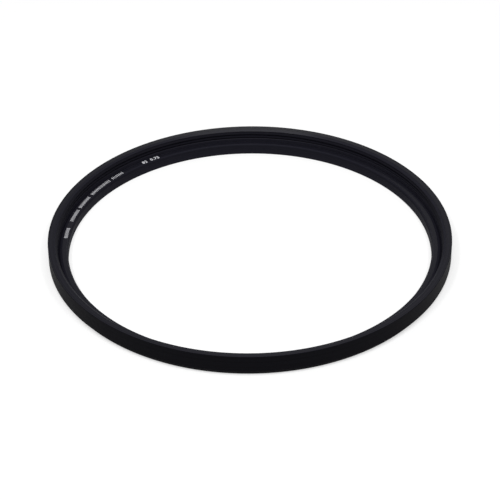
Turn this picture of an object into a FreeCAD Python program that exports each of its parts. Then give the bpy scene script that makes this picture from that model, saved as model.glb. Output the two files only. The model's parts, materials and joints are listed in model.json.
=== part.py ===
# Filter conversion ring: a thin turned ring with a fine filter thread in its front and small disc
# magnets set in its rear seat. Millimetres, axis on Z, rear seat at Z = 0, filter side at the top.
import FreeCAD, Part
import math
import os

# Filter side
thread_diameter = 82.0      # nominal size of the filter thread
thread_pitch = 0.75
thread_half_angle = 30.0    # degrees, between a flank and the plane across the axis
rim_width = 1.5             # wall outside the thread
rim_edge_break = 0.08       # chamfer on the rim's outer edge
lead_in_flare = 0.27        # how far the thread's lead-in opens beyond its nominal radius
recess_depth = 2.35         # from the front rim down to the ledge

# Run-out groove, V-shaped, at the foot of the thread
groove_width = 1.4          # from the thread's nominal radius in to the ledge
groove_slope = 0.93         # width of its gentle side, next to the ledge
groove_drop = 0.35          # its lowest line, below the ledge
groove_rise = 0.1           # where its steep side meets the thread, above the ledge

# Ledge and aperture
ledge_width = 0.88          # flat part of the ledge
lip_width = 0.36            # steep lip between the ledge and the aperture
lip_height = 0.65
seat_edge_break = 0.1       # chamfer on the aperture's rear edge

# Outer bevel, from the rear seat up to the side wall
bevel_width = 0.95
bevel_height = 1.25

# Magnets and their pockets, along the middle of the rear seat
magnet_count = 20           # even, so that the poles can alternate
magnet_diameter = 2.0
magnet_thickness = 1.5
magnet_edge_break = 0.1
magnet_recess = 0.05        # magnet face, above the rear seat
pocket_clearance = 0.05     # glue gap around a magnet, on the radius
pocket_roof = 0.6           # metal between a pocket and the groove

# A 60 degree internal thread is five eighths of its sharp triangle deep
thread_depth = 5 / 8 * thread_pitch / (2 * math.tan(math.radians(thread_half_angle)))

# Radii
thread_major = thread_diameter / 2
thread_minor = thread_major - thread_depth
lead_in_radius = thread_major + lead_in_flare
outer_radius = thread_major + rim_width
ledge_outer = thread_major - groove_width
groove_middle = ledge_outer + groove_slope
ledge_inner = ledge_outer - ledge_width
aperture_radius = ledge_inner - lip_width
seat_radius = outer_radius - bevel_width
pocket_radius = magnet_diameter / 2 + pocket_clearance
magnet_pitch_radius = (aperture_radius + seat_radius) / 2

# Heights
pocket_depth = magnet_thickness + magnet_recess
groove_floor = pocket_depth + pocket_roof
ledge_height = groove_floor + groove_drop
front_height = ledge_height + recess_depth
thread_foot = ledge_height + groove_rise
lead_in_foot = front_height - (lead_in_radius - thread_minor)

axis_z = FreeCAD.Vector(0, 0, 1)


def turned(outline):
    """Solid of revolution about Z from (radius, height) points."""
    points = [FreeCAD.Vector(radius, 0, height) for radius, height in outline]
    face = Part.Face(Part.makePolygon(points + points[:1]))
    return face.revolve(FreeCAD.Vector(), axis_z, 360)


def magnet_places():
    """Centres of the magnets' pockets on the rear seat, half a step off the X axis."""
    step = 360 / magnet_count
    first = FreeCAD.Vector(magnet_pitch_radius, 0, 0)
    turns = [FreeCAD.Rotation(axis_z, (index + 0.5) * step) for index in range(magnet_count)]
    return [turn.multVec(first) for turn in turns]


def frame_blank():
    """The turned frame, before its pockets are cut."""
    aperture_and_ledge = [
        (aperture_radius, seat_edge_break),
        (aperture_radius, ledge_height - lip_height),
        (ledge_inner, ledge_height),
        (ledge_outer, ledge_height),
    ]
    groove_and_thread = [
        (groove_middle, groove_floor),
        (thread_minor, thread_foot),
        (thread_minor, lead_in_foot),
        (lead_in_radius, front_height),
    ]
    rim_and_side = [
        (outer_radius - rim_edge_break, front_height),
        (outer_radius, front_height - rim_edge_break),
        (outer_radius, bevel_height),
    ]
    rear_seat = [
        (seat_radius, 0),
        (aperture_radius + seat_edge_break, 0),
    ]
    return turned(aperture_and_ledge + groove_and_thread + rim_and_side + rear_seat)


def ring_frame():
    """The frame with a blind pocket for each magnet."""
    frame = frame_blank()
    for place in magnet_places():
        frame = frame.cut(Part.makeCylinder(pocket_radius, pocket_depth, place, axis_z))
    return frame.Solids[0]


def magnet(place):
    """One disc magnet, seated on the roof of its pocket."""
    radius = magnet_diameter / 2
    disc = turned([
        (0, 0),
        (radius - magnet_edge_break, 0),
        (radius, magnet_edge_break),
        (radius, magnet_thickness - magnet_edge_break),
        (radius - magnet_edge_break, magnet_thickness),
        (0, magnet_thickness),
    ])
    disc.translate(place + axis_z * magnet_recess)
    return disc


os.makedirs("parts", exist_ok=True)
ring_frame().exportStep("parts/ring_frame.step")
for number, place in enumerate(magnet_places(), start=1):
    magnet(place).exportStep(f"parts/magnet_{number:02d}.step")
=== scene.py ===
import json
import math

import bpy
from mathutils import Matrix, Vector


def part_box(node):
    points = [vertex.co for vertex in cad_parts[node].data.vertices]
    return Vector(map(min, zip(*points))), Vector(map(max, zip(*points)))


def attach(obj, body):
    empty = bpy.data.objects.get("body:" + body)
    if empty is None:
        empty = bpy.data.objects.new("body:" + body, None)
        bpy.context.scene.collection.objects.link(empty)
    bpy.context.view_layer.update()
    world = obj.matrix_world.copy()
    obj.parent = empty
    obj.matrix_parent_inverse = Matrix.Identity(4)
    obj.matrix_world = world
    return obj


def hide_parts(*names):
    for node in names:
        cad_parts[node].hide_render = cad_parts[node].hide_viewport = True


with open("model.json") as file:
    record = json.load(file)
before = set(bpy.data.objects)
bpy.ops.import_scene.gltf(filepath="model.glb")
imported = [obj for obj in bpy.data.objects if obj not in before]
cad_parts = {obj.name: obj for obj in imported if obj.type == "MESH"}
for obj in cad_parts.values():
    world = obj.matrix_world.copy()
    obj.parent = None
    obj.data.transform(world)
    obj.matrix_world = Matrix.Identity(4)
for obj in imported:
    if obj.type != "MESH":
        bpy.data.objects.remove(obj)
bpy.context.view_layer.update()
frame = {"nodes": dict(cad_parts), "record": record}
print("frame loaded")

mm = 0.001                                   # everything below is in metres
mounts = {mount["name"]: mount for mount in frame["record"]["mounts"]}
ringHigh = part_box("ring_frame")[1]
magnetLow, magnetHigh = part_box("magnet_01")
magnetNodes = sorted(name for name in frame["nodes"] if name.startswith("magnet_"))


def mountRadius(name):
    return mounts[name]["dims"]["r_mm"] * mm


# Node helpers, for geometry and shader trees alike

def feed(tree, socket, value):               # a socket is linked, anything else is set
    if isinstance(value, bpy.types.NodeSocket):
        tree.links.new(value, socket)
    else:
        socket.default_value = value


def feedInOrder(tree, sockets, values):
    for socket, value in zip(sockets, values):
        feed(tree, socket, value)


def addNode(tree, kind, settings=None, **inputs):
    node = tree.nodes.new(kind)
    for name, value in (settings or {}).items():
        setattr(node, name, value)
    for name, value in inputs.items():       # edgeRound feeds the input "Edge Round"
        label = "".join(" " + letter if letter.isupper() else letter for letter in name).title()
        feed(tree, next(item for item in node.inputs if item.enabled and item.name == label), value)
    return node


def calc(tree, operation, *values):          # one Math node
    node = addNode(tree, "ShaderNodeMath", {"operation": operation})
    feedInOrder(tree, node.inputs, values)
    return node.outputs[0]


def vectorCalc(tree, operation, *vectors):   # one Vector Math node
    node = addNode(tree, "ShaderNodeVectorMath", {"operation": operation})
    feedInOrder(tree, node.inputs, vectors)
    return node.outputs


def mapRange(tree, value, fromMin, fromMax, toMin=0.0, toMax=1.0):
    node = addNode(tree, "ShaderNodeMapRange", value=value, fromMin=fromMin, fromMax=fromMax,
                   toMin=toMin, toMax=toMax)
    return node.outputs["Result"]


def blend(tree, mask, first, second):        # first where the mask is 0, second where it is 1
    return mapRange(tree, mask, 0.0, 1.0, first, second)


def joinAxes(tree, x, y, z):
    return addNode(tree, "ShaderNodeCombineXYZ", x=x, y=y, z=z).outputs[0]


def splitAxes(tree, vector):
    return addNode(tree, "ShaderNodeSeparateXYZ", vector=vector).outputs


def newGroup(name, kind, inputs, outputs):   # a node group with named sockets
    tree = bpy.data.node_groups.new(name, kind)
    for side, sockets in (("INPUT", inputs), ("OUTPUT", outputs)):
        for label, socketKind in sockets.items():
            tree.interface.new_socket(label, in_out=side, socket_type="NodeSocket" + socketKind)
    return tree, tree.nodes.new("NodeGroupInput").outputs, tree.nodes.new("NodeGroupOutput").inputs


def addGroup(tree, group, **inputs):
    kind = tree.bl_idname.replace("Tree", "Group")
    return addNode(tree, kind, {"node_tree": group}, **inputs).outputs


# Mesh and object helpers

def newMesh(name, points, edges=(), faces=()):
    mesh = bpy.data.meshes.new(name)
    mesh.from_pydata(points, edges, faces)
    return mesh


def outlineMesh(name, outline):              # an open line of (radius, height) points
    steps = [(index, index + 1) for index in range(len(outline) - 1)]
    return newMesh(name, [(radius, height, 0) for radius, height in outline], steps)


def addObject(name, data):
    added = bpy.data.objects.new(name, data)
    bpy.context.scene.collection.objects.link(added)
    return added


def runTree(name, startMesh, tree, values, evenNormals=False):   # the tree's result as a plain mesh
    source = addObject(name + "Source", startMesh)
    modifier = source.modifiers.new("tree", "NODES")
    modifier.node_group = tree
    for item in tree.interface.items_tree:
        if item.in_out == "INPUT" and item.name in values:
            modifier[item.identifier] = values[item.name]
    if evenNormals:                          # flats stay flat beside the small rounded edges
        weighted = source.modifiers.new("evenNormals", "WEIGHTED_NORMAL")
        weighted.keep_sharp = True
        weighted.weight = 100                # the largest face at a corner decides
    depsgraph = bpy.context.evaluated_depsgraph_get()
    mesh = bpy.data.meshes.new_from_object(source.evaluated_get(depsgraph), preserve_all_data_layers=True,
                                           depsgraph=depsgraph)
    mesh.name = name
    bpy.data.objects.remove(source)
    return mesh


# Surface effects, as shader groups

lathe = {
    "fineDetail": 2.0,
    "bandScale": 0.12,                       # of the broad bands, as a share of the fine lines' scale
    "bandDetail": 1.0,
}

skin = {
    "fineDetail": 3.0,
    "patchScale": 0.015,                     # of the cloudy patches, as a share of the grain's scale
    "patchDetail": 2.0,
}


def coordinates(tree):
    return tree.nodes.new("ShaderNodeTexCoord").outputs


def noise(tree, place, scale, detail, dimensions="3D"):
    node = addNode(tree, "ShaderNodeTexNoise", {"noise_dimensions": dimensions}, vector=place, scale=scale,
                   detail=detail)
    return node.outputs[0]


def turnedLinesGroup():                      # fine rings left by the lathe, about the Z axis
    tree, given, made = newGroup("turnedLines", "ShaderNodeTree", {"Spacing": "Float"},
                                 {"Height": "Float", "Tone": "Float"})
    place = splitAxes(tree, coordinates(tree)["Object"])
    radius = vectorCalc(tree, "LENGTH", joinAxes(tree, place[0], place[1], 0.0))["Value"]
    across = calc(tree, "DIVIDE", radius, given["Spacing"])
    along = calc(tree, "DIVIDE", place[2], given["Spacing"])
    section = joinAxes(tree, across, along, 0.0)
    fine = noise(tree, section, 1.0, lathe["fineDetail"], "2D")
    bands = noise(tree, section, lathe["bandScale"], lathe["bandDetail"], "2D")
    tree.links.new(fine, made["Height"])
    tree.links.new(bands, made["Tone"])
    return tree


def fineGrainGroup():                        # even speckle of an etched, plated or printed skin
    tree, given, made = newGroup("fineGrain", "ShaderNodeTree", {"Grain Size": "Float"},
                                 {"Height": "Float", "Tone": "Float"})
    place = coordinates(tree)["Object"]
    scale = calc(tree, "DIVIDE", 1.0, given["Grain Size"])
    fine = noise(tree, place, scale, skin["fineDetail"])
    patches = noise(tree, place, calc(tree, "MULTIPLY", scale, skin["patchScale"]), skin["patchDetail"])
    tree.links.new(fine, made["Height"])
    tree.links.new(patches, made["Tone"])
    return tree


turnedLines = turnedLinesGroup()
fineGrain = fineGrainGroup()


# Finishes

def newMaterial(name):
    material = bpy.data.materials.new(name)
    material.use_nodes = True
    tree = material.node_tree
    return material, tree, tree.nodes["Principled BSDF"]


def fillShader(tree, shader, values):
    for name, value in values.items():
        feed(tree, shader.inputs[name], value)


def mixColours(tree, factor, first, second):
    node = addNode(tree, "ShaderNodeMix", {"data_type": "RGBA"}, factor=factor, a=first, b=second)
    return next(item for item in node.outputs if item.enabled)


def bumpNormal(tree, height):                # height in metres
    return addNode(tree, "ShaderNodeBump", height=height, strength=1.0, distance=1.0).outputs[0]


def outwardFacing(tree):                     # 1 on faces turned away from the axis, -1 on those turned to it
    known = coordinates(tree)
    place = splitAxes(tree, known["Object"])
    away = vectorCalc(tree, "NORMALIZE", joinAxes(tree, place[0], place[1], 0.0))["Vector"]
    return vectorCalc(tree, "DOT_PRODUCT", known["Normal"], away)["Value"]


anodise = {
    "darkTone": (0.0066, 0.0065, 0.0097, 1),     # matt inner faces, between lines and on them
    "paleTone": (0.0144, 0.0140, 0.0211, 1),
    "paintedShadeDark": (0.0022, 0.0021, 0.0030, 1),    # painted shade: a darker black on the side wall and bevel, standing in for the shade that falls there
    "paintedShadePale": (0.0046, 0.0044, 0.0063, 1),
    "flankShadeShare": 0.25,                          # painted shade in the thread's recess: flanks are this far towards the painted shade tones
    "streakSpan": (1.2, 1.8),                    # lines, bands and grain added up, from dark to pale
    "bandSpan": (0.3, 0.7),                      # bands, from low to high roughness
    "roughLow": 0.24,                            # rim, ledge and rear seat
    "roughHigh": 0.30,
    "uprightRough": 0.60,                        # side wall, thread crests, lip and aperture
    "slantRough": 0.85,                          # lead-in and bevel
    "specularLevel": 0.032,
    "leadInSheen": 0.034,                        # faint clear gloss, burnished by the tool that cuts it
    "sheenRough": 0.32,
    "sheenIndex": 2.1,                           # high, so that it shows square on and hardly when grazed
    "lineSpacing": 0.05 * mm,
    "lineDepth": 0.0012 * mm,
    "grainSize": 0.03 * mm,
    "grainDepth": 0.0010 * mm,
}

faceKinds = {                                # how far outwards faces turn as a mask fades in, and out again
    "outer": [(0.5, 0.75)],
    "bevel": [(0.5, 0.75), (0.93, 0.87)],
    "inner": [(-0.73, -0.85)],
    "leadIn": [(-0.58, -0.68), (-0.82, -0.74)],
    "flank": [(-0.40, -0.45), (-0.60, -0.55)],
}


def faceMasks(tree):                         # a mask for each kind of face
    facing = outwardFacing(tree)
    masks = {}
    for kind, fades in faceKinds.items():
        ramps = [mapRange(tree, facing, empty, full) for empty, full in fades]
        masks[kind] = calc(tree, "MINIMUM", ramps[0], ramps[-1])
    return masks


def blackAnodise():
    material, tree, shader = newMaterial("blackAnodise")
    lines = addGroup(tree, turnedLines, spacing=anodise["lineSpacing"])
    grain = addGroup(tree, fineGrain, grainSize=anodise["grainSize"])
    masks = faceMasks(tree)
    streaks = calc(tree, "ADD", lines["Height"], calc(tree, "ADD", lines["Tone"], grain["Height"]))
    shade = mapRange(tree, streaks, *anodise["streakSpan"])
    inner = mixColours(tree, shade, anodise["darkTone"], anodise["paleTone"])
    # painted shade: side wall and bevel take a darker black than the inner faces
    outer = mixColours(tree, shade, anodise["paintedShadeDark"], anodise["paintedShadePale"])
    # painted shade on the thread flanks, for the shade in the thread's recess
    flankPaintedShade = calc(tree, "MULTIPLY", masks["flank"], anodise["flankShadeShare"])
    # mask of the painted shade: the side wall and bevel fully, the thread flanks in part
    paintedShadeMask = calc(tree, "MAXIMUM", masks["outer"], flankPaintedShade)
    flatRough = mapRange(tree, lines["Tone"], *anodise["bandSpan"], anodise["roughLow"], anodise["roughHigh"])
    upright = calc(tree, "MAXIMUM", masks["outer"], masks["inner"])
    slanted = calc(tree, "MAXIMUM", masks["leadIn"], masks["bevel"])
    squareRough = blend(tree, upright, flatRough, anodise["uprightRough"])
    height = calc(tree, "ADD", calc(tree, "MULTIPLY", lines["Height"], anodise["lineDepth"]),
                  calc(tree, "MULTIPLY", grain["Height"], anodise["grainDepth"]))
    fillShader(tree, shader, {
        "Base Color": mixColours(tree, paintedShadeMask, inner, outer),
        "Roughness": blend(tree, slanted, squareRough, anodise["slantRough"]),
        "Specular IOR Level": anodise["specularLevel"],
        "Coat Weight": calc(tree, "MULTIPLY", masks["leadIn"], anodise["leadInSheen"]),
        "Coat Roughness": anodise["sheenRough"],
        "Coat IOR": anodise["sheenIndex"],
        "Normal": bumpNormal(tree, height),
    })
    return material


nickel = {
    "darkTone": (0.52, 0.50, 0.46, 1),
    "paleTone": (0.68, 0.66, 0.62, 1),
    "patchSpan": (0.35, 0.65),               # patches, from dark to pale
    "grainSpan": (0.3, 0.7),                 # grain, from low to high roughness
    "roughLow": 0.16,
    "roughHigh": 0.30,
    "grainSize": 0.04 * mm,
    "grainDepth": 0.0006 * mm,
}


def nickelPlate():
    material, tree, shader = newMaterial("nickelPlate")
    grain = addGroup(tree, fineGrain, grainSize=nickel["grainSize"])
    shade = mapRange(tree, grain["Tone"], *nickel["patchSpan"])
    rough = mapRange(tree, grain["Height"], *nickel["grainSpan"], nickel["roughLow"], nickel["roughHigh"])
    height = calc(tree, "MULTIPLY", grain["Height"], nickel["grainDepth"])
    fillShader(tree, shader, {
        "Base Color": mixColours(tree, shade, nickel["darkTone"], nickel["paleTone"]),
        "Metallic": 1.0,
        "Roughness": rough,
        "Normal": bumpNormal(tree, height),
    })
    return material


ink = {
    "darkTone": (0.61, 0.61, 0.64, 1),
    "paleTone": (0.79, 0.79, 0.83, 1),
    "grainSpan": (0.35, 0.65),               # grain, from dark to pale
    "grainSize": 0.02 * mm,
    "roughness": 0.6,
}


def whitePrint():
    material, tree, shader = newMaterial("whitePrint")
    grain = addGroup(tree, fineGrain, grainSize=ink["grainSize"])
    shade = mapRange(tree, grain["Height"], *ink["grainSpan"])
    fillShader(tree, shader, {
        "Base Color": mixColours(tree, shade, ink["darkTone"], ink["paleTone"]),
        "Roughness": ink["roughness"],
    })
    return material


# Turned shapes: an outline of radius and height swept round the axis

turnedSizes = {"Segments": "Int", "Path Radius": "Float", "Edge Round": "Float", "Edge Steps": "Int"}
circleSizes = {"Count": "Int", "Circle Radius": "Float", "First Angle": "Float"}
weldDistance = 0.001 * mm


def pointAxes(tree):                         # x, y and z of each point
    return splitAxes(tree, tree.nodes.new("GeometryNodeInputPosition").outputs[0])


def turnedFormGroup():
    tree, given, made = newGroup("turnedForm", "GeometryNodeTree", {"Outline": "Geometry", **turnedSizes},
                                 {"Mesh": "Geometry"})
    place = pointAxes(tree)
    section = joinAxes(tree, calc(tree, "SUBTRACT", place[0], given["Path Radius"]),
                       calc(tree, "MULTIPLY", place[1], -1.0), 0.0)
    moved = addNode(tree, "GeometryNodeSetPosition", geometry=given["Outline"], position=section)
    curve = addNode(tree, "GeometryNodeMeshToCurve", mesh=moved.outputs[0])
    rounded = addNode(tree, "GeometryNodeFilletCurve", {"mode": "POLY"}, curve=curve.outputs[0],
                      count=given["Edge Steps"], radius=given["Edge Round"], limitRadius=True)
    path = addNode(tree, "GeometryNodeCurvePrimitiveCircle", resolution=given["Segments"],
                   radius=given["Path Radius"])
    swept = addNode(tree, "GeometryNodeCurveToMesh", curve=path.outputs[0], profileCurve=rounded.outputs[0])
    tree.links.new(swept.outputs[0], made["Mesh"])
    return tree


turnedForm = turnedFormGroup()


def turnedBody(tree, given):
    made = addGroup(tree, turnedForm, outline=given["Geometry"], segments=given["Segments"],
                    pathRadius=given["Path Radius"], edgeRound=given["Edge Round"],
                    edgeSteps=given["Edge Steps"])
    return made["Mesh"]


def copiesOnCircle(tree, given, shape, height=0.0):
    circle = addNode(tree, "GeometryNodeCurvePrimitiveCircle", resolution=given["Count"],
                     radius=given["Circle Radius"])
    placed = addNode(tree, "GeometryNodeTransform", geometry=circle.outputs[0],
                     translation=joinAxes(tree, 0.0, 0.0, height),
                     rotation=joinAxes(tree, 0.0, 0.0, given["First Angle"]))
    return addNode(tree, "GeometryNodeInstanceOnPoints", points=placed.outputs[0], instance=shape).outputs[0]


def weld(tree, mesh):                        # joins what meets
    return addNode(tree, "GeometryNodeMergeByDistance", geometry=mesh, distance=weldDistance).outputs[0]


def sharpenEdges(tree, mesh, limit):         # edges past the limit stay crisp, all others run smooth
    soft = addNode(tree, "GeometryNodeSetShadeSmooth", {"domain": "EDGE"}, geometry=mesh)
    angle = tree.nodes.new("GeometryNodeInputMeshEdgeAngle").outputs["Unsigned Angle"]
    crisp = addNode(tree, "GeometryNodeSetShadeSmooth", {"domain": "EDGE"}, geometry=soft.outputs[0],
                    selection=calc(tree, "GREATER_THAN", angle, limit), shadeSmooth=False)
    return crisp.outputs[0]


def endTree(tree, mesh, given, made):
    real = addNode(tree, "GeometryNodeRealizeInstances", geometry=mesh)
    painted = addNode(tree, "GeometryNodeSetMaterial", geometry=real.outputs[0], material=given["Finish"])
    tree.links.new(painted.outputs[0], made["Geometry"])


# The ring's frame

ring = {
    "threadMajor": 41.0 * mm,                # nominal radius of the filter thread
    "threadPitch": 0.75 * mm,
    "crestEnd": 1 / 8,                       # in pitches from a crest's middle: its flat ends here
    "rootStart": 7 / 16,                     # and the root's flat starts here
    "stepsPerPitch": 16,
    "rimEdgeBreak": 0.08 * mm,
    "leadInFlare": 0.27 * mm,                # how far the thread's mouth opens past its nominal radius
    "recessDepth": 2.35 * mm,                # front rim down to the ledge
    "grooveWidth": 1.40 * mm,                # run-out groove, from the nominal radius in to the ledge
    "grooveSlope": 0.93 * mm,                # width of its slope down from the ledge
    "grooveDrop": 0.35 * mm,
    "grooveRise": 0.1 * mm,
    "runOutHeight": 0.3 * mm,                # over which the thread fades at its foot
    "lipWidth": 0.36 * mm,                   # steep lip between ledge and aperture
    "lipHeight": 0.65 * mm,
    "seatEdgeBreak": 0.1 * mm,
    "bevelWidth": 0.95 * mm,
    "bevelHeight": 1.25 * mm,
    "pocketClearance": 0.05 * mm,            # round each magnet
    "pocketSides": 48,
    "segments": 360,
    "edgeRound": 0.04 * mm,
    "edgeSteps": 3,
    "sharpAngle": math.radians(32),
}

outerRadius = max(ringHigh.x, ringHigh.y)
frontHeight = ringHigh.z
apertureRadius = mountRadius("light_aperture")
threadMinor = mountRadius("filter_thread")
threadMajor = ring["threadMajor"]
ledgeHeight = frontHeight - ring["recessDepth"]
ledgeInner = apertureRadius + ring["lipWidth"]
leadInRadius = threadMajor + ring["leadInFlare"]
ledgeOuter = threadMajor - ring["grooveWidth"]
grooveMiddle = ledgeOuter + ring["grooveSlope"]
grooveFloor = ledgeHeight - ring["grooveDrop"]
grooveTop = ledgeHeight + ring["grooveRise"]
seatInner = apertureRadius + ring["seatEdgeBreak"]
seatOuter = outerRadius - ring["bevelWidth"]
magnetCentre = (magnetLow + magnetHigh) / 2
magnetRadius = (magnetHigh.x - magnetLow.x) / 2
magnetCircleRadius = magnetCentre.xy.length
firstMagnetAngle = math.atan2(magnetCentre.y, magnetCentre.x)

threadSizes = dict.fromkeys(("Thread Pitch", "Thread Minor", "Thread Major", "Lead In Radius",
                             "Run Out Height", "Groove Top", "Front Height"), "Float")


def ringOutline():                           # from the thread's front edge round the outside to the groove
    rimEdge = ring["rimEdgeBreak"]
    return [
        (leadInRadius, frontHeight),
        (outerRadius - rimEdge, frontHeight),
        (outerRadius, frontHeight - rimEdge),
        (outerRadius, ring["bevelHeight"]),
        (seatOuter, 0),
        (seatInner, 0),
        (apertureRadius, ring["seatEdgeBreak"]),
        (apertureRadius, ledgeHeight - ring["lipHeight"]),
        (ledgeInner, ledgeHeight),
        (ledgeOuter, ledgeHeight),
        (grooveMiddle, grooveFloor),
        (threadMinor, grooveTop),
    ]


def threadSheet(tree, given):                # a unit grid rolled up along the helix
    pitch, minor, major = given["Thread Pitch"], given["Thread Minor"], given["Thread Major"]
    bottom, top, mouth = given["Groove Top"], given["Front Height"], given["Lead In Radius"]
    perPitch = ring["stepsPerPitch"]
    rows = math.ceil((frontHeight - grooveTop) / ring["threadPitch"] * perPitch) + perPitch
    grid = addNode(tree, "GeometryNodeMeshGrid", sizeX=1.0, sizeY=1.0,
                   verticesX=calc(tree, "ADD", given["Segments"], 1.0), verticesY=rows + 1)
    place = pointAxes(tree)
    turn = calc(tree, "ADD", place[0], 0.5)  # from 0 to 1, once round
    row = calc(tree, "ROUND", calc(tree, "MULTIPLY", calc(tree, "ADD", place[1], 0.5), rows))
    threads = calc(tree, "DIVIDE", row, perPitch)
    climb = calc(tree, "ADD", threads, calc(tree, "SUBTRACT", turn, 1.0))
    free = calc(tree, "ADD", calc(tree, "MULTIPLY", climb, pitch), bottom)
    level = calc(tree, "MAXIMUM", calc(tree, "MINIMUM", free, top), bottom)
    fromCrest = calc(tree, "ABSOLUTE", calc(tree, "SUBTRACT", calc(tree, "FRACT", threads), 0.5))
    form = mapRange(tree, fromCrest, ring["crestEnd"], ring["rootStart"], minor, major)
    runOut = mapRange(tree, level, bottom, calc(tree, "ADD", bottom, given["Run Out Height"]), minor, major)
    coneFoot = calc(tree, "SUBTRACT", top, calc(tree, "SUBTRACT", mouth, minor))
    leadIn = mapRange(tree, level, coneFoot, top, minor, mouth)
    radius = calc(tree, "MAXIMUM", calc(tree, "MINIMUM", form, runOut), leadIn)
    angle = calc(tree, "MULTIPLY", turn, math.tau)
    position = joinAxes(tree, calc(tree, "MULTIPLY", radius, calc(tree, "COSINE", angle)),
                        calc(tree, "MULTIPLY", radius, calc(tree, "SINE", angle)), level)
    rolled = addNode(tree, "GeometryNodeSetPosition", geometry=grid.outputs[0], position=position)
    return addNode(tree, "GeometryNodeFlipFaces", mesh=rolled.outputs[0]).outputs[0]


def magnetPockets(tree, given):              # cutters, half of each below the seat
    depth = calc(tree, "MULTIPLY", given["Pocket Depth"], 2.0)
    cutter = addNode(tree, "GeometryNodeMeshCylinder", vertices=ring["pocketSides"],
                     radius=given["Pocket Radius"], depth=depth)
    copies = copiesOnCircle(tree, given, cutter.outputs[0])
    return addNode(tree, "GeometryNodeRealizeInstances", geometry=copies).outputs[0]


def ringTree():
    tree, given, made = newGroup("ringFrameTree", "GeometryNodeTree", {
        "Geometry": "Geometry",
        **turnedSizes,
        **threadSizes,
        **circleSizes,
        "Pocket Radius": "Float",
        "Pocket Depth": "Float",
        "Finish": "Material",
    }, {"Geometry": "Geometry"})
    joined = addNode(tree, "GeometryNodeJoinGeometry")
    tree.links.new(turnedBody(tree, given), joined.inputs[0])
    tree.links.new(threadSheet(tree, given), joined.inputs[0])
    drilled = addNode(tree, "GeometryNodeMeshBoolean", {"operation": "DIFFERENCE", "solver": "MANIFOLD"})
    feedInOrder(tree, drilled.inputs, (weld(tree, joined.outputs[0]), magnetPockets(tree, given)))
    cleaned = weld(tree, drilled.outputs[0])
    endTree(tree, sharpenEdges(tree, cleaned, ring["sharpAngle"]), given, made)
    return tree


ringMesh = runTree("ringFrame", outlineMesh("ringOutline", ringOutline()), ringTree(), {
    "Segments": ring["segments"],
    "Path Radius": apertureRadius,
    "Edge Round": ring["edgeRound"],
    "Edge Steps": ring["edgeSteps"],
    "Thread Pitch": ring["threadPitch"],
    "Thread Minor": threadMinor,
    "Thread Major": threadMajor,
    "Lead In Radius": leadInRadius,
    "Run Out Height": ring["runOutHeight"],
    "Groove Top": grooveTop,
    "Front Height": frontHeight,
    "Count": len(magnetNodes),
    "Circle Radius": magnetCircleRadius,
    "First Angle": firstMagnetAngle,
    "Pocket Radius": magnetRadius + ring["pocketClearance"],
    "Pocket Depth": magnetHigh.z,
    "Finish": blackAnodise(),
}, evenNormals=True)
ringFrame = addObject("ringFrame", ringMesh)
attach(ringFrame, "root")
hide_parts("ring_frame")
print("ring frame turned, threaded and drilled:", len(ringMesh.polygons), "faces")


# Disc magnets in the rear seat

magnets = {
    "edgeBreak": 0.1 * mm,
    "segments": 48,
    "edgeRound": 0.03 * mm,
    "edgeSteps": 2,
    "sharpAngle": math.radians(40),
}


def magnetOutline():
    thickness = magnetHigh.z - magnetLow.z
    edge = magnets["edgeBreak"]
    return [
        (0, thickness),
        (magnetRadius - edge, thickness),
        (magnetRadius, thickness - edge),
        (magnetRadius, edge),
        (magnetRadius - edge, 0),
        (0, 0),
    ]


def magnetTree():
    tree, given, made = newGroup("magnetTree", "GeometryNodeTree", {
        "Geometry": "Geometry",
        **turnedSizes,
        **circleSizes,
        "Seat Height": "Float",
        "Finish": "Material",
    }, {"Geometry": "Geometry"})
    disc = sharpenEdges(tree, weld(tree, turnedBody(tree, given)), magnets["sharpAngle"])
    endTree(tree, copiesOnCircle(tree, given, disc, given["Seat Height"]), given, made)
    return tree


magnetMesh = runTree("magnetDiscs", outlineMesh("magnetOutline", magnetOutline()), magnetTree(), {
    "Segments": magnets["segments"],
    "Path Radius": magnetRadius / 2,
    "Edge Round": magnets["edgeRound"],
    "Edge Steps": magnets["edgeSteps"],
    "Count": len(magnetNodes),
    "Circle Radius": magnetCircleRadius,
    "First Angle": firstMagnetAngle,
    "Seat Height": magnetLow.z,
    "Finish": nickelPlate(),
}, evenNormals=True)
magnetDiscs = addObject("magnetDiscs", magnetMesh)
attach(magnetDiscs, "root")
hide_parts(*magnetNodes)
print("magnets set in the rear seat:", len(magnetMesh.polygons), "faces")


# White print on the ledge: short scales of fine ticks, then the thread's plain numbers

marks = {
    "radius": 39.12 * mm,                    # middle of the print
    "proud": 0.012 * mm,                     # the print stands this far above the ledge
    "sunk": 0.004 * mm,                      # and reaches this far into it
    "tickLength": 0.74 * mm,
    "tickWidth": 0.15 * mm,
    "tickStep": math.radians(0.62),
    "scales": (                              # first and last tick of each, in degrees
        (177.0, 172.0),
        (167.7, 161.6),
        (159.9, 153.7),
        (151.7, 142.4),
        (140.7, 136.2),
    ),
    "numbers": (("82  0.75", 124.4),),       # and the angle of their middle, in degrees
    "numberHeight": 0.84 * mm,
    "numberSpread": 1.12,                    # room between digits
    "numberWeight": 0.035 * mm,              # how much bolder the strokes get
    "numberSteps": 3,                        # along each curve of a digit
    "digitShare": 0.7,                       # height of a digit, as a share of the type size
}

printThickness = marks["proud"] + marks["sunk"]
printLift = (marks["proud"] - marks["sunk"]) / 2     # from the ledge to the middle of the print


def aroundAxis(radius, angle, height):
    return radius * math.cos(angle), radius * math.sin(angle), height


def tickPoints():                            # one point on the ledge for every tick
    points = []
    for start, end in marks["scales"]:
        sweep = math.radians(start - end)
        count = round(sweep / marks["tickStep"])
        for index in range(count + 1):
            angle = math.radians(start) - sweep * index / count
            points.append(aroundAxis(marks["radius"], angle, ledgeHeight))
    return points


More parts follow.
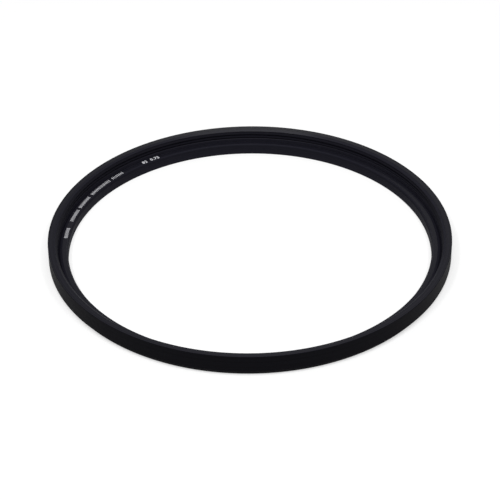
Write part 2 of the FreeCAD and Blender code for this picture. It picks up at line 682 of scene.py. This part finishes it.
def tickTree():
    tree, given, made = newGroup("tickTree", "GeometryNodeTree", {
        "Geometry": "Geometry",
        "Length": "Float",
        "Width": "Float",
        "Thickness": "Float",
        "Lift": "Float",
        "Finish": "Material",
    }, {"Geometry": "Geometry"})
    tick = addNode(tree, "GeometryNodeMeshCube",
                   size=joinAxes(tree, given["Length"], given["Width"], given["Thickness"]))
    lifted = addNode(tree, "GeometryNodeTransform", geometry=tick.outputs[0],
                     translation=joinAxes(tree, 0.0, 0.0, given["Lift"]))
    place = pointAxes(tree)
    outwards = joinAxes(tree, 0.0, 0.0, calc(tree, "ARCTAN2", place[1], place[0]))
    copies = addNode(tree, "GeometryNodeInstanceOnPoints", points=given["Geometry"],
                     instance=lifted.outputs[0], rotation=outwards)
    endTree(tree, copies.outputs[0], given, made)
    return tree


def bentNumber(text, middle):                # flat digits wrapped round the ledge, tops outwards
    line = bpy.data.curves.new("number", "FONT")
    line.body = text
    line.align_x = "CENTER"
    line.align_y = "CENTER"
    line.size = marks["numberHeight"] / marks["digitShare"]
    line.space_character = marks["numberSpread"]
    line.resolution_u = marks["numberSteps"]
    line.offset = marks["numberWeight"]
    line.extrude = printThickness / 2        # to each side
    source = addObject("numberSource", line)
    mesh = bpy.data.meshes.new_from_object(source)
    bpy.data.objects.remove(source)
    for vertex in mesh.vertices:
        x, y, z = vertex.co
        angle = math.radians(middle) - x / marks["radius"]
        vertex.co = aroundAxis(marks["radius"] + y, angle, ledgeHeight + printLift + z)
    return mesh


printFinish = whitePrint()
tickPlaces = newMesh("tickPlaces", tickPoints())
tickMesh = runTree("scaleTicks", tickPlaces, tickTree(), {
    "Length": marks["tickLength"],
    "Width": marks["tickWidth"],
    "Thickness": printThickness,
    "Lift": printLift,
    "Finish": printFinish,
})
scaleTicks = addObject("scaleTicks", tickMesh)
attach(scaleTicks, "root")
for number, (text, middle) in enumerate(marks["numbers"], start=1):
    numberMesh = bentNumber(text, middle)
    numberMesh.materials.append(printFinish)
    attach(addObject(f"ledgeNumber{number}", numberMesh), "root")
print("ledge print laid:", len(tickPlaces.vertices), "ticks")


# Floor, light and camera

studio = {
    "floorSize": 6.0,
    "floorGap": 0.02 * mm,                   # keeps the floor out of the rear seat's plane
    "seatMargin": 0.2 * mm,                  # the floor is open under the seat, up to this far from its edges
    "floorTone": (0.82, 0.82, 0.82, 1),
    "floorRough": 0.9,
    "floorGlow": 0.60,                       # what the camera and reflections see before any lamp
    "floorShare": (0.48, 0.48, 0.48, 1),     # how much of the lamps' light they see on top
    "fadeStart": 0.065,                      # from here out the floor turns into the white surround
    "fadeEnd": 0.16,
    "ambient": 0.30,
    "lamps": {
        # name: direction to the lamp, distance, width, height, watts
        "frontLamp": ((0.0, -0.49, 0.87), 0.9, 0.4, 0.14, 3.0),
        "keyLamp": ((-0.322, -0.424, 0.847), 0.9, 0.1, 0.1, 1.7),
        "sideLamp": ((0.322, -0.424, 0.847), 0.9, 0.1, 0.1, 1.2),
        "backLamp": ((0.0, 0.836, 0.549), 0.9, 0.1, 0.12, 0.22),
        "rimLamp": ((0.082, 0.784, 0.616), 0.9, 0.22, 0.22, 0.11),
    },
}


def seenRays(tree):                          # 1 for camera, mirror and see-through rays
    path = tree.nodes.new("ShaderNodeLightPath").outputs
    direct = calc(tree, "MAXIMUM", path["Is Camera Ray"], path["Is Glossy Ray"])
    return calc(tree, "MAXIMUM", direct, path["Is Transmission Ray"])


def addShaders(tree, first, second):
    node = addNode(tree, "ShaderNodeAddShader")
    feedInOrder(tree, node.inputs, (first, second))
    return node.outputs[0]


def mixShaders(tree, factor, first, second):
    node = addNode(tree, "ShaderNodeMixShader")
    feedInOrder(tree, node.inputs, (factor, first, second))
    return node.outputs[0]


def underSeat(tree, radius):                 # 1 below the rear seat
    margin = studio["seatMargin"]
    return calc(tree, "MULTIPLY", calc(tree, "GREATER_THAN", radius, seatInner + margin),
                calc(tree, "LESS_THAN", radius, seatOuter - margin))


def paleFloor():
    material, tree, shader = newMaterial("paleFloor")
    fillShader(tree, shader, {
        "Base Color": studio["floorTone"],
        "Roughness": studio["floorRough"],
        "Specular IOR Level": 0.0,
    })
    radius = vectorCalc(tree, "LENGTH", coordinates(tree)["Object"])["Value"]
    glow = addNode(tree, "ShaderNodeEmission", strength=studio["floorGlow"]).outputs[0]
    lit = addNode(tree, "ShaderNodeBsdfDiffuse", color=studio["floorShare"]).outputs[0]
    white = addNode(tree, "ShaderNodeEmission", strength=1.0).outputs[0]
    fade = mapRange(tree, radius, studio["fadeStart"], studio["fadeEnd"])
    seen = mixShaders(tree, fade, addShaders(tree, glow, lit), white)
    top = mixShaders(tree, seenRays(tree), shader.outputs[0], seen)
    below = tree.nodes.new("ShaderNodeNewGeometry").outputs["Backfacing"]
    opened = calc(tree, "MAXIMUM", below, underSeat(tree, radius))   # the rear is seen and lit from below
    clear = addNode(tree, "ShaderNodeBsdfTransparent").outputs[0]
    whole = mixShaders(tree, opened, top, clear)
    tree.links.new(whole, tree.nodes["Material Output"].inputs["Surface"])
    return material


def layFloor():
    half = studio["floorSize"] / 2
    level = -studio["floorGap"]
    corners = [(x * half, y * half, level) for x, y in ((-1, -1), (1, -1), (1, 1), (-1, 1))]
    mesh = newMesh("floor", corners, faces=[(0, 1, 2, 3)])
    mesh.materials.append(paleFloor())
    return addObject("floor", mesh)


def lightWorld():
    world = bpy.data.worlds.new("whiteSurround")
    world.use_nodes = True
    tree = world.node_tree
    fillShader(tree, tree.nodes["Background"], {
        "Color": (1, 1, 1, 1),
        "Strength": blend(tree, seenRays(tree), studio["ambient"], 1.0),
    })
    bpy.context.scene.world = world


def hangLamp(name, direction, distance, width, height, watts):
    light = bpy.data.lights.new(name, "AREA")
    light.shape = "RECTANGLE"
    light.size = width
    light.size_y = height
    light.energy = watts
    lamp = addObject(name, light)
    toLamp = Vector(direction).normalized()
    lamp.location = toLamp * distance
    lamp.rotation_euler = toLamp.to_track_quat("Z", "Y").to_euler()


cameraView = {
    "elevation": math.radians(35.207),
    "distance": 425 * mm,
    "aimHeight": 0.236 * mm,
    "roll": 0.0103,                          # radians
    "lens": 144.26,                          # millimetres, as is the sensor's width
    "sensorWidth": 36,
    "clipStart": 0.01,
    "clipEnd": 50,
}


def placeCamera():
    lens = bpy.data.cameras.new("camera")
    lens.lens = cameraView["lens"]
    lens.sensor_width = cameraView["sensorWidth"]
    lens.clip_start = cameraView["clipStart"]
    lens.clip_end = cameraView["clipEnd"]
    camera = addObject("camera", lens)
    elevation = cameraView["elevation"]
    away = Vector((0, -math.cos(elevation), math.sin(elevation)))
    place = Vector((0, 0, cameraView["aimHeight"])) + away * cameraView["distance"]
    turn = Matrix.Rotation(math.pi / 2 - elevation, 4, "X") @ Matrix.Rotation(-cameraView["roll"], 4, "Z")
    camera.matrix_world = Matrix.Translation(place) @ turn
    bpy.context.scene.camera = camera


layFloor()
lightWorld()
for lampName, lampSetup in studio["lamps"].items():
    hangLamp(lampName, *lampSetup)
placeCamera()
bpy.context.scene.view_settings.view_transform = "Standard"
print("floor, lamps and camera placed")

bpy.context.view_layer.update()
